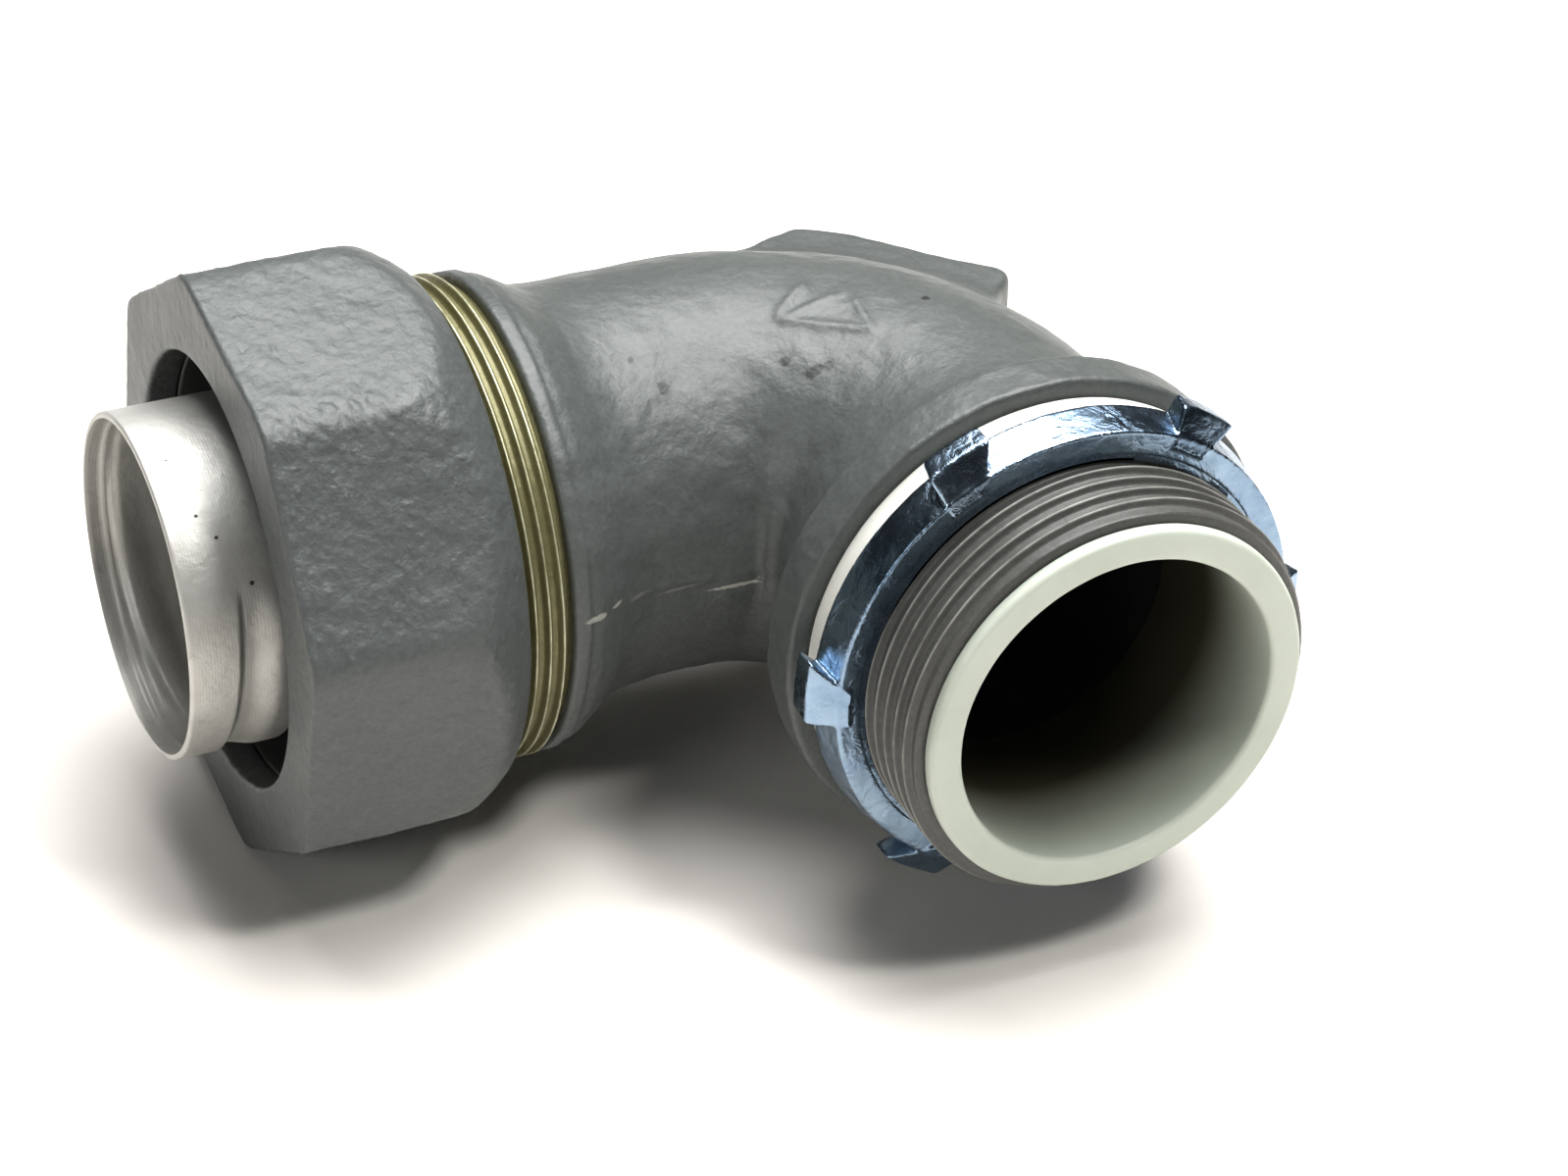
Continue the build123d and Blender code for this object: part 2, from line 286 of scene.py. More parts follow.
def cubic(x, xs, ys):
    """Monotone cubic interpolation."""
    h = np.diff(xs)
    d = np.diff(ys) / h
    mt = np.zeros_like(ys)
    for i in range(1, len(xs) - 1):
        if d[i - 1] * d[i] > 0:
            w1, w2 = 2 * h[i] + h[i - 1], h[i] + 2 * h[i - 1]
            mt[i] = (w1 + w2) / (w1 / d[i - 1] + w2 / d[i])
    i = np.clip(np.searchsorted(xs, x) - 1, 0, len(xs) - 2)
    t = np.clip((x - xs[i]) / h[i], 0, 1)
    return ((2 * t ** 3 - 3 * t ** 2 + 1) * ys[i] + (t ** 3 - 2 * t ** 2 + t) * h[i] * mt[i]
            + (-2 * t ** 3 + 3 * t ** 2) * ys[i + 1] + (t ** 3 - t ** 2) * h[i] * mt[i + 1])


T_S = np.linspace(-5, L1 + L2 + 25, 2000)
T_R = cubic(T_S, KS, KR)
T_O = cubic(T_S, KS, KO)


def path_coords(p):
    """s along the path, in-plane offset outward, and z, for points in mm."""
    x, y, z = p[..., 0], p[..., 1] - AX, p[..., 2]
    bx, by = x + BEND_R, y + BEND_R
    phi = np.arctan2(bx, by)
    gl = (bx < 0) & (bx <= by)
    hb = (by < 0) & (by < bx)
    s = np.where(gl, L1 + bx, np.where(hb, L1 + L2 - by, L1 + BEND_R * np.clip(phi, 0, math.pi / 2)))
    off = np.where(gl, y, np.where(hb, x, np.hypot(bx, by) - BEND_R))
    return s, off, z


def casting(p):
    s, off, z = path_coords(p)
    r = np.interp(s, T_S, T_R)
    o = np.interp(s, T_S, T_O)
    rad = np.hypot(off - o, z)
    skin = (rad - r) * 0.93
    # raised parting line in the plane of both axes, broken along its length
    line = np.exp(-((z - 0.5 * np.sin(s * 0.21)) / 0.45) ** 2) * (0.15 + 0.13 * np.sin(s * 0.9) * np.sin(s * 0.37 + 1))
    skin = skin - line * np.clip((s - 5) / 4, 0, 1) * np.clip((L1 + L2 + 8 - s) / 4, 0, 1)
    # hub flange
    hr = np.hypot(p[..., 0], p[..., 2])
    fl = smax(hr - 28.7, np.abs(p[..., 1] - 2.7) - 2.7, 0.9)
    d = smin(skin, fl, 2.2)
    # collar behind the gland thread
    gr = np.hypot(p[..., 1] - AX, p[..., 2])
    co = smax(gr - 27.55, np.abs(-p[..., 0] - 46.9) - 0.95, 0.3)
    d = smin(d, co, 0.35)
    # wrench pad on the heel
    bx, by = p[..., 0] + BEND_R, p[..., 1] - AX + BEND_R
    u = (bx - by) / math.sqrt(2)
    w = (bx + by) / math.sqrt(2)
    face = smax(np.hypot(bx, by) - 52.9, w - 52.0, 0.5)
    # the end towards the gland leans back, the end towards the hub is square
    end = smax(-u - 15.9 + 0.42 * (w - 50.2), u - 12.2, 0.1)
    pad = smax(smax(end, np.abs(p[..., 2]) - 15.95 + 0.03 * (w - 45), 1.4), face, 1.9 + 0.9 * np.tanh(u / 4))
    pad = np.maximum(pad, 30 - w)
    d = smin(d, pad, 3.4)
    # raised cast outline on the upper cheek, low and rounded
    tx, ty = p[..., 0], p[..., 1]
    tri = np.full(tx.shape, 9.0)
    for (ax_, ay_), (cx_, cy_) in (((-15.3, 34.0), (-10.6, 37.6)), ((-14.7, 33.2), (-8.6, 34.2)), ((-15.0, 33.0), (-7.4, 27.2)), ((-6.6, 32.0), (-7.3, 27.3))):
        lx, ly = cx_ - ax_, cy_ - ay_
        t_ = np.clip(((tx - ax_) * lx + (ty - ay_) * ly) / (lx * lx + ly * ly), 0, 1)
        tri = np.minimum(tri, np.hypot(tx - ax_ - t_ * lx, ty - ay_ - t_ * ly))
    d = d - 0.26 * np.exp(-(tri / 0.62) ** 2) * (p[..., 2] > 15)
    # casting unevenness
    d = d + 0.10 * noise(p, 9.0, 11) + 0.09 * noise(p, 3.1, 12) + 0.05 * noise(p, 1.5, 13)
    # ends
    d = smax(d, -p[..., 0] - 47.85, 0.35)
    d = smax(d, -p[..., 1], 0.5)
    # wire passage
    inner = np.hypot(off, z) - 19.0 + 0.12 * noise(p, 4.0, 15)
    seat = smax(hr - 20.3, p[..., 1] - 3.5, 0.3)
    return smax(d, -np.minimum(inner, seat), 0.5)


h = 0.42
V, Fc = surface_nets(casting, (-49.4, -1.6, -30.2), (30.2, 71.6, 30.2), h)
elbow = make_object("elbow_casting", V / 1000, Fc)
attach(elbow, "elbow")
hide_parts("elbow_body")

# ------------------------------------------------------------- gland barrel
COLS = 576
TH = np.linspace(0, TAU, COLS + 1)


def fixed_rows(points, TH):
    pts = np.array(points, float)
    return np.repeat(pts[:, :1], len(TH), 1), np.repeat(pts[:, 1:2], len(TH), 1)


R1, Z1 = thread_rows(TH, 48.3, 65.8, GL_P, GL_Z0, 26.85, 27.72, n=20, crest=0.09, peak=1.7, env=([48.3, 48.55, 48.75, 64.3, 65.8], [26.5, 26.8, 27.72, 27.72, 26.3]))
R2, Z2 = fixed_rows([(26.34, 66.0), (26.24, 66.0), (25.88, 65.2), (25.1, 63.5), (25.08, 60.5), (25.08, 57.5), (22.0, 57.4), (19.05, 57.4), (19.05, 52.0), (19.05, 46.9), (22, 46.9), (26.3, 46.9), (26.35, 47.6)], TH)
barrel = ring("gland_barrel", gland, np.concatenate([R1, R2]), np.concatenate([Z1, Z2]), TH, angle=50)
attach(barrel, "elbow")
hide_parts("elbow_body")

# --------------------------------------------------------------- hub barrel
R1, Z1 = thread_rows(TH, 1.2, 18.6, HUB_P, HUB_Z0, 23.35, 24.13, n=20, crest=0.09, peak=1.5, env=([1.2, 1.4, 2.6, 17.6, 18.6], [22.4, 22.9, 24.13, 24.13, 23.2]))
R2, Z2 = fixed_rows([(22.3, 18.68), (21.6, 18.7), (20.3, 18.7), (20.3, 12), (20.3, 6), (20.3, 0.6), (20.4, -0.4), (22, -0.4), (22.4, 0.6)], TH)
hubb = ring("hub_barrel", hub, np.concatenate([R1, R2]), np.concatenate([Z1, Z2]), TH, angle=50)
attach(hubb, "elbow")
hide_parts("elbow_body")

# ----------------------------------------------------------- throat bushing
bush = lathe("throat_liner", hub, [(18.6, -3.3, 0.3), (20.2, -3.3, 0.2), (20.2, 18.75, 0.1), (22.3, 18.75, 0.25), (22.3, 20.4, 0.75), (18.6, 20.4, 0.6)],
             cols=320, seg=6, step=0.9, wobble=0.03, seed=21)
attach(bush, "elbow")
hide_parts("throat_bushing")

# ------------------------------------------------------- white sealing ring
seal = lathe("hub_seal", hub, [(24.4, 0.05, 0.2), (27.1, 0.05, 0.5), (27.1, 3.6, 0.7), (24.4, 3.6, 0.2)], cols=256, seg=6, step=0.8, wobble=0.03, seed=31)
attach(seal, "locknut_travel")
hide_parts("hub_sealing_ring")

# ----------------------------------------------------------- inner ring
cring = lathe("gland_seal", gland, [(24.35, 66.6, 0.15), (24.92, 66.6, 0.15), (24.92, 68.7, 0.8), (26.5, 71.5, 0.8), (26.5, 75.7, 0.4), (24.35, 75.7, 0.4)],
              cols=256, seg=5, step=0.8, wobble=0.02, seed=41)
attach(cring, "gland_travel")
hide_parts("compression_ring")

# ------------------------------------------------------------------ ferrule
def ferrule_mesh():
    rows_r, rows_z = [], []
    T = np.linspace(0, TAU, 361)
    zs_out = np.concatenate([np.linspace(58.8, 87.95, 150), 87.95 + 0.35 * np.sin(np.linspace(0.2, 1.45, 5))])

    turn = ((T - 1.2) % TAU) / TAU

    def relief(z, sharp):
        """Depth of the helical step: steep on the rim side, easing back towards the nut."""
        ph = z - 86.9 + 7.0 * turn
        k = np.floor((0.1 - ph) / 7.0)
        d = -(ph + 7.0 * k) - 0.1                       # 0 at the step, growing away from the rim
        f = np.clip(d / sharp, 0, 1) * np.clip((5.0 - d) / 3.4, 0, 1)
        f = f * f * (3 - 2 * f)
        first = np.clip(turn / 0.12, 0, 1) * np.clip((5.2 - 1.2 - turn * TAU) / 0.3, 0, 1)
        return np.where(k >= 0, f, 0) * np.where(k < 1, first, 1)

    for z in zs_out:
        base = 19.42 if z < 87.95 else 19.42 - 0.35 * (1 - math.cos(math.asin(min(1, (z - 87.95) / 0.35))))
        rows_r.append(base - 0.72 * relief(z, 0.7))
        rows_z.append(np.full(361, z))
    for z in np.concatenate([88.3 - np.array([0.0]), [88.28]]):
        rows_r.append(np.full(361, 18.9 if z == 88.3 else 18.75))
        rows_z.append(np.full(361, z))
    for z in np.linspace(88.0, 57.6, 120):
        base = np.interp(z, [57.6, 84.6, 85.3, 86.3, 86.6, 88.0], [18.1, 18.1, 18.35, 18.38, 18.62, 18.68])
        rows_r.append(base - 0.5 * relief(z, 1.0) * (z < 85.5))
        rows_z.append(np.full(361, z))
    for r, z in ((18.3, 57.5), (21.0, 57.48), (24.6, 57.48), (24.85, 57.6), (24.88, 58.6), (24.86, 59.8), (24.7, 60.0), (24.35, 60.0), (24.22, 59.8), (24.2, 59.0), (24.0, 58.66), (21.5, 58.65), (19.7, 58.66)):
        rows_r.append(np.full(361, r))
        rows_z.append(np.full(361, z))
    R, Z = np.array(rows_r), np.array(rows_z)
    q = np.stack([R * np.cos(T), R * np.sin(T), Z], -1)
    R = R + 0.025 * noise(q, 7.0, 51) + 0.012 * noise(q, 1.6, 52)
    R[:, -1] = R[:, 0]
    return ring("ferrule_sleeve", gland, R, Z, T, angle=55)


ferrule = ferrule_mesh()
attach(ferrule, "ferrule")
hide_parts("ferrule")


# ---------------------------------------------------------------- gland nut
def nut_mesh():
    M = 720
    T = np.linspace(0, TAU, M + 1)
    NF, NB = 79.4, 53.7
    DZ = np.array([53.6, 53.8, 54.3, 54.9, 56.3, 57.9, 59.8, 62.2, 65.0, 80.0])
    DR = np.array([29.1, 29.5, 30.1, 30.6, 31.6, 32.55, 33.45, 34.15, 34.6, 35.2])
    dl = np.degrees(T) - 11.0
    dl = (dl % 45.0) - 22.5
    flat = 31.9 / np.cos(np.radians(dl))

    def sm(a, b, k):
        hh = np.clip(0.5 + 0.5 * (b - a) / k, 0, 1)
        return b + (a - b) * hh - k * hh * (1 - hh)
    rows_r, rows_z = [], []
    # outer wall from the back edge to the front edge
    zz = np.concatenate([NB + 10.5 * (1 - np.cos(np.linspace(0.0, math.pi / 2, 40))), np.linspace(NB + 10.7, NF - 0.6, 60)])
    for z in zz:
        dome = float(cubic(np.array([z]), DZ, DR)[0])
        rows_r.append(sm(sm(flat, 34.1, 0.5), dome, 0.7))
        rows_z.append(np.full(M + 1, z))
    top_r = rows_r[-1]
    for a in np.radians([20, 40, 60, 80]):
        rows_r.append(top_r - 0.6 * (1 - np.cos(a)))
        rows_z.append(np.full(M + 1, NF - 0.6 + 0.6 * np.sin(a)))
    for t in np.linspace(0.06, 1, 14):
        rows_r.append((top_r - 0.7) * (1 - t) + 24.95 * t)
        rows_z.append(np.full(M + 1, NF))
    for r, z in ((24.75, NF - 0.06), (24.6, NF - 0.2), (24.52, NF - 0.45), (24.5, NF - 0.8), (24.5, 78.0), (24.5, 77.0), (24.5, 76.3), (24.55, 75.95), (24.8, 75.9),
                 (25.6, 75.9), (26.6, 75.9), (27.2, 75.8), (27.3, 75.5), (27.3, 74.0), (27.3, 72.5), (27.3, 71.0)):
        rows_r.append(np.full(M + 1, r))
        rows_z.append(np.full(M + 1, z))
    R, Z = np.array(rows_r), np.array(rows_z)
    n_out = len(zz) + 4
    # casting unevenness on the painted outside, with one coarse patch
    q = np.stack([R * np.cos(T), R * np.sin(T), Z], -1)
    w = np.zeros(len(R))
    w[:n_out] = 1
    w[n_out:n_out + 14] = 0.5
    bump = 0.11 * noise(q, 7.0, 61) + 0.06 * noise(q, 2.4, 62) + 0.055 * noise(q, 1.1, 63) + 0.7 * np.maximum(noise(q, 1.0, 66) - 0.66, 0)
    # the facet that faces up and to the camera has a rough band under its upper edge
    deg = (np.degrees(T)[None, :] + 0 * R)
    band = np.exp(-(((deg - 328.0 + 180) % 360 - 180) / 6.5) ** 4) * np.clip((Z - 56) / 3, 0, 1)
    bump = bump + band * (0.16 * noise(q, 1.5, 64) + 0.10 * noise(q, 0.8, 65))
    R = R + np.minimum(bump - 0.12, 0.1) * w[:, None]
    R[:, -1] = R[:, 0]
    # internal thread, from the front of the thread back to the mouth
    Rt, Zt = thread_rows(T, 54.4, 70.1, GL_P, GL_Z0 + GL_P / 2, 27.95, 26.9, n=12, crest=0.07,
                         env=([54.4, 54.6, 55.5, 69.0, 70.0, 70.1], [28.1, 28.0, 26.9, 26.9, 27.9, 28.0]))
    Rt, Zt = Rt[::-1], Zt[::-1]
    Rb, Zb = fixed_rows([(28.4, 54.0), (28.75, 53.75), (29.0, 53.7)], T)
    return ring("gland_nut_casting", gland, np.concatenate([R, Rt, Rb]), np.concatenate([Z, Zt, Zb]), T, angle=50)


nut = nut_mesh()
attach(nut, "gland_nut")
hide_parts("gland_nut")


# ------------------------------------------------------------------ locknut
def locknut(p):
    """p in hub coordinates: x, y across, z = distance out of the face."""
    x, y, z = p[..., 0], p[..., 1], p[..., 2]
    r = np.hypot(x, y)
    th = np.degrees(np.arctan2(y, x))
    t = (z - 3.7) / 4.8
    wall = r - (28.1 - 0.75 * t)
    slab = np.abs(z - 6.1) - 2.38
    d = smax(smax(wall, slab, 0.25), r + 0.9 * z - 35.15 - 0.15 * np.sin(np.radians(th) * 7), 0.2)
    # six lugs: steep on one side, sloping on the other, leaning back to the seal
    k = np.round((th - 57.0) / 60.0)
    a = th - 57.0 - 60 * k
    arc = np.radians(a) * 29.0
    side = np.maximum(arc - 3.7 - 0.25 * (z - 6), -arc - 3.6 - 0.7 * (r - 30.3))
    lean = (z - 8.35 + 0.55 * (r - 27.2)) / 1.14
    cap = r - 30.3
    low = 3.72 - z
    lug = smax(smax(smax(side, cap, 0.4), lean, 0.35), low, 0.3)
    lug = np.maximum(lug, 26.0 - r)
    d = smin(d, lug, 0.35)
    d = d + 0.03 * noise(p, 2.2, 71) + 0.015 * noise(p, 0.9, 72)
    # bore with a lead at each face
    bore = r - (24.46 + np.clip(z - 8.2, 0, 1) * 0.4 + np.clip(4.3 - z, 0, 1) * 0.5)
    return smax(d, -bore, 0.25)


h = 0.24
V, Fc = surface_nets(locknut, (-31.2, -31.2, 2.9), (31.2, 31.2, 9.3), h)
V = np.stack([V[:, 0], -V[:, 2], V[:, 1]], -1) / 1000
ln = make_object("locknut_ring", V, Fc)
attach(ln, "locknut")
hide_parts("locknut")
T = np.linspace(0, TAU, 361)
Rt, Zt = thread_rows(T, 3.8, 8.42, HUB_P, HUB_Z0 + HUB_P / 2, 24.45, 23.45, n=14, crest=0.07,
                     env=([3.8, 4.0, 4.8, 8.1, 8.42], [24.6, 24.5, 23.4, 23.4, 23.9]))
Rt = np.where(Zt > 7.6, np.minimum(Rt, 24.30 - 0.15 * (Zt - 7.6)), Rt)
Rb, Zb = fixed_rows([(24.75, 8.42), (24.75, 6.0), (24.75, 3.8)], T)
lnt = ring("locknut_thread", hub, np.concatenate([Rt, Rb]), np.concatenate([Zt, Zb]), T, angle=50)
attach(lnt, "locknut")
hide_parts("locknut")


# ---------------------------------------------------------------- materials
def mat(name):
    mt = bpy.data.materials.new(name)
    mt.use_nodes = True
    nt = mt.node_tree
    nt.nodes.clear()
    out = nt.nodes.new("ShaderNodeOutputMaterial")
    bs = nt.nodes.new("ShaderNodeBsdfPrincipled")
    nt.links.new(bs.outputs[0], out.inputs[0])
    tc = nt.nodes.new("ShaderNodeTexCoord")
    return mt, nt, bs, tc.outputs["Object"]


def nz(nt, co, scale, detail=4.0, rough=0.55, dist=0.0):
    n = nt.nodes.new("ShaderNodeTexNoise")
    n.inputs["Scale"].default_value = scale
    n.inputs["Detail"].default_value = detail
    n.inputs["Roughness"].default_value = rough
    n.inputs["Distortion"].default_value = dist
    nt.links.new(co, n.inputs["Vector"])
    return n.outputs["Fac"]


def ramp(nt, fac, stops):
    r = nt.nodes.new("ShaderNodeValToRGB")
    el = r.color_ramp.elements
    while len(el) < len(stops):
        el.new(0.5)
    for e, (p, c) in zip(el, stops):
        e.position = p
        e.color = (*c, 1) if len(c) == 3 else c
    nt.links.new(fac, r.inputs[0])
    return r.outputs[0]


def mth(nt, op, a, b=None, clamp=False):
    n = nt.nodes.new("ShaderNodeMath")
    n.operation = op
    n.use_clamp = clamp
    for i, v in enumerate((a, b)):
        if v is None:
            continue
        if isinstance(v, (int, float)):
            n.inputs[i].default_value = v
        else:
            nt.links.new(v, n.inputs[i])
    return n.outputs[0]


def mix(nt, fac, a, b, mode="MIX"):
    n = nt.nodes.new("ShaderNodeMix")
    n.data_type = "RGBA"
    n.blend_type = mode
    for sock, v in ((n.inputs[0], fac), (n.inputs[6], a), (n.inputs[7], b)):
        if isinstance(v, (int, float)):
            sock.default_value = v
        elif isinstance(v, tuple):
            sock.default_value = (*v, 1)
        else:
            nt.links.new(v, sock)
    return n.outputs[2]


def bump(nt, bs, height, strength, dist, prev=None):
    b = nt.nodes.new("ShaderNodeBump")
    b.inputs["Strength"].default_value = strength
    b.inputs["Distance"].default_value = dist
    nt.links.new(height, b.inputs["Height"])
    if prev is not None:
        nt.links.new(prev, b.inputs["Normal"])
    nt.links.new(b.outputs[0], bs.inputs["Normal"])
    return b.outputs[0]


def spot(nt, co, centre, radius, soft=0.35, stretch=(1, 1, 1)):
    """1 inside a small ellipsoid (m, frame coordinates), 0 outside, ragged by noise."""
    s = nt.nodes.new("ShaderNodeVectorMath")
    s.operation = "SUBTRACT"
    nt.links.new(co, s.inputs[0])
    s.inputs[1].default_value = centre
    v = nt.nodes.new("ShaderNodeVectorMath")
    v.operation = "MULTIPLY"
    nt.links.new(s.outputs[0], v.inputs[0])
    v.inputs[1].default_value = stretch
    ln_ = nt.nodes.new("ShaderNodeVectorMath")
    ln_.operation = "LENGTH"
    nt.links.new(v.outputs[0], ln_.inputs[0])
    n = nz(nt, co, 1400, 3, 0.6)
    d = mth(nt, "ADD", mth(nt, "DIVIDE", ln_.outputs["Value"], radius), mth(nt, "MULTIPLY", mth(nt, "SUBTRACT", n, 0.5), 1.3))
    return mth(nt, "DIVIDE", mth(nt, "SUBTRACT", 1.0, d), soft, clamp=True)


def paint(name, c_lo, c_hi, seed_scale, fine=0.5, marks=()):
    mt, nt, bs, co = mat(name)
    big = nz(nt, co, 38, 4, 0.5)
    tiny = nz(nt, co, 1500, 3, 0.6)
    col = ramp(nt, big, [(0.25, c_lo), (0.75, c_hi)])
    col = mix(nt, 0.16, col, ramp(nt, tiny, [(0.35, (0.25, 0.25, 0.25)), (0.65, (0.75, 0.75, 0.75))]), "OVERLAY")
    rough = mth(nt, "ADD", mth(nt, "MULTIPLY", nz(nt, co, 160, 4, 0.6), 0.16), 0.35)
    for centre, radius, colour, stretch in marks:
        s = spot(nt, co, centre, radius, stretch=stretch)
        col = mix(nt, s, col, colour)
    nt.links.new(col, bs.inputs["Base Color"])
    nt.links.new(rough, bs.inputs["Roughness"])
    bs.inputs["Specular IOR Level"].default_value = 0.5
    bs.inputs["Coat Weight"].default_value = 0.05
    bs.inputs["Coat Roughness"].default_value = 0.30
    b0 = bump(nt, bs, nz(nt, co, 260, 3, 0.5, 0.3), 0.30 * fine, 0.0010)
    b1 = bump(nt, bs, nz(nt, co, 620, 5, 0.65), 0.34 * fine, 0.0005, b0)
    vor = nt.nodes.new("ShaderNodeTexVoronoi")
    vor.inputs["Scale"].default_value = seed_scale
    nt.links.new(co, vor.inputs["Vector"])
    pit = ramp(nt, vor.outputs["Distance"], [(0.0, (0, 0, 0)), (0.12, (1, 1, 1))])
    pitmask = mix(nt, ramp(nt, nz(nt, co, 70, 2), [(0.52, (0, 0, 0)), (0.62, (1, 1, 1))]), (1, 1, 1), pit)
    b2 = bump(nt, bs, pitmask, 0.35, 0.0003, b1)
    bump(nt, bs, nz(nt, co, 1700, 2, 0.5), 0.12, 0.0002, b2)
    return mt


DARK = (0.045, 0.047, 0.046)
PALE = (0.40, 0.40, 0.37)
FAINT = (0.22, 0.22, 0.205)
body_marks = [((-0.01702, 0.02831, 0.0202), 0.0010, DARK, (1, 1.6, 1)), ((-0.0147, 0.0256, 0.0199), 0.0013, DARK, (0.8, 1.6, 1)),
              ((-0.0131, 0.0253, 0.0205), 0.0008, DARK, (1, 1, 1)), ((-0.0312, 0.0297, 0.0191), 0.0009, DARK, (1, 1, 1)),
              ((-0.0335, 0.0330, 0.0215), 0.0006, DARK, (1, 1, 1)), ((0.0010, 0.0300, 0.0235), 0.0006, DARK, (1, 1, 1)),
              ((-0.0452, 0.0145, 0.0018), 0.0014, PALE, (0.8, 1, 3.0)), ((-0.0425, 0.0163, 0.0019), 0.0011, PALE, (0.8, 1, 3.5)),
              ((-0.0392, 0.0185, 0.0006), 0.0009, FAINT, (0.30, 1, 3.0)), ((-0.0335, 0.0199, -0.0006), 0.0008, FAINT, (0.22, 1, 3.0)),
              ((-0.0262, 0.0198, -0.0019), 0.0009, PALE, (0.22, 1, 3.2)), ((-0.0240, 0.0190, -0.0013), 0.0006, PALE, (0.6, 1, 2.0))]
nut_marks = [((-0.0755, 0.0330, 0.0315), 0.0005, DARK, (1, 1, 1)), ((-0.0640, 0.0110, 0.0130), 0.0005, DARK, (1, 1, 1))]
paint_body = paint("grey_enamel", (0.112, 0.121, 0.117), (0.130, 0.140, 0.135), 190, fine=0.85, marks=body_marks)
paint_nut = paint("grey_enamel_nut", (0.108, 0.118, 0.116), (0.126, 0.136, 0.133), 240, fine=1.3, marks=nut_marks)


def crest_paint(name, c_lo, c_hi, crest_wear_and_highlight, r0, r1, centre_y, along):
    """Painted thread with lighter crests, partly rubbed wear and partly painted highlight; the mask follows the
    distance from the thread's axis.
    """
    mt = paint(name, c_lo, c_hi, 300, fine=0.6)
    nt = mt.node_tree
    bs = [n for n in nt.nodes if n.type == "BSDF_PRINCIPLED"][0]
    co = [n for n in nt.nodes if n.type == "TEX_COORD"][0].outputs["Object"]
    sep = nt.nodes.new("ShaderNodeSeparateXYZ")
    nt.links.new(co, sep.inputs[0])
    a = mth(nt, "SUBTRACT", sep.outputs[1], centre_y) if along == "X" else sep.outputs[0]
    r = mth(nt, "SQRT", mth(nt, "ADD", mth(nt, "MULTIPLY", a, a), mth(nt, "MULTIPLY", sep.outputs[2], sep.outputs[2])))
    # crest mask: rubbed wear and painted highlight on the thread crests
    k = mth(nt, "DIVIDE", mth(nt, "SUBTRACT", r, r0), r1 - r0, clamp=True)
    k = mth(nt, "MULTIPLY", k, ramp(nt, nz(nt, co, 260, 3, 0.6), [(0.30, (0.25, 0.25, 0.25)), (0.62, (1, 1, 1))]))
    src = bs.inputs["Base Color"].links[0].from_socket
    nt.links.new(mix(nt, k, src, crest_wear_and_highlight), bs.inputs["Base Color"])
    return mt, nt, bs, k


paint_hub = crest_paint("grey_enamel_thread", (0.105, 0.105, 0.099), (0.124, 0.123, 0.116), (0.34, 0.34, 0.31), 0.02396, 0.02412, 0.0, "Y")[0]


# Painted shade: near-black colour for the inside of the wire passage and the hub seat, darker than the grey casting,
# standing in for the shade deep inside
def bore_painted_shade():
    mt, nt, bs, co = mat("painted_shade_bore")
    col = ramp(nt, nz(nt, co, 120, 4), [(0.3, (0.020, 0.021, 0.021)), (0.7, (0.035, 0.036, 0.036))])
    nt.links.new(col, bs.inputs["Base Color"])
    bs.inputs["Roughness"].default_value = 0.7
    bump(nt, bs, nz(nt, co, 500, 4), 0.4, 0.0004)
    return mt


def chromate():
    mt, nt, bs, k = crest_paint("olive_chromate", (0.185, 0.172, 0.088), (0.27, 0.255, 0.145), (0.60, 0.60, 0.45), 0.02750, 0.02768, 0.0414, "X")
    bs.inputs["Metallic"].default_value = 0.30
    bs.inputs["Coat Weight"].default_value = 0.0
    return mt


def zinc():
    mt, nt, bs, co = mat("blue_zinc")
    col = ramp(nt, nz(nt, co, 110, 4, 0.6, 0.3), [(0.3, (0.21, 0.29, 0.39)), (0.7, (0.37, 0.46, 0.55))])
    nt.links.new(col, bs.inputs["Base Color"])
    bs.inputs["Metallic"].default_value = 1.0
    nt.links.new(mth(nt, "ADD", mth(nt, "MULTIPLY", nz(nt, co, 350, 4), 0.26), 0.14), bs.inputs["Roughness"])
    b = bump(nt, bs, nz(nt, co, 330, 5, 0.6, 0.6), 0.55, 0.0005)
    bump(nt, bs, nz(nt, co, 1500, 2, 0.5), 0.12, 0.00012, b)
    return mt


def aluminium():
    mt, nt, bs, co = mat("bare_aluminium")
    col = ramp(nt, nz(nt, co, 90, 5, 0.6), [(0.3, (0.50, 0.49, 0.465)), (0.7, (0.63, 0.625, 0.60))])
    dirt = ramp(nt, nz(nt, co, 420, 4, 0.7), [(0.60, (0, 0, 0)), (0.72, (0.55, 0.55, 0.55))])
    col = mix(nt, dirt, col, (0.40, 0.38, 0.35))
    for ang, z_, rad in ((5.62, 84.6, 0.00024), (5.48, 83.1, 0.00030), (5.02, 81.2, 0.00028), (6.0, 85.6, 0.00022), (5.2, 80.4, 0.00034), (4.9, 82.0, 0.00022)):
        c = (-z_ / 1000, (AX + 19.45 * math.sin(ang)) / 1000, 19.45 * math.cos(ang) / 1000)
        col = mix(nt, spot(nt, co, c, rad), col, (0.07, 0.07, 0.07))
    nt.links.new(col, bs.inputs["Base Color"])
    bs.inputs["Metallic"].default_value = 0.62
    nt.links.new(mth(nt, "ADD", mth(nt, "MULTIPLY", nz(nt, co, 240, 4, 0.6), 0.25), 0.40), bs.inputs["Roughness"])
    wv = nt.nodes.new("ShaderNodeTexWave")
    wv.bands_direction = "X"
    wv.inputs["Scale"].default_value = 900
    wv.inputs["Distortion"].default_value = 1.5
    wv.inputs["Detail"].default_value = 2
    nt.links.new(co, wv.inputs["Vector"])
    b = bump(nt, bs, wv.outputs["Fac"], 0.05, 0.0001)
    bump(nt, bs, nz(nt, co, 300, 5, 0.65), 0.42, 0.0004, b)
    return mt


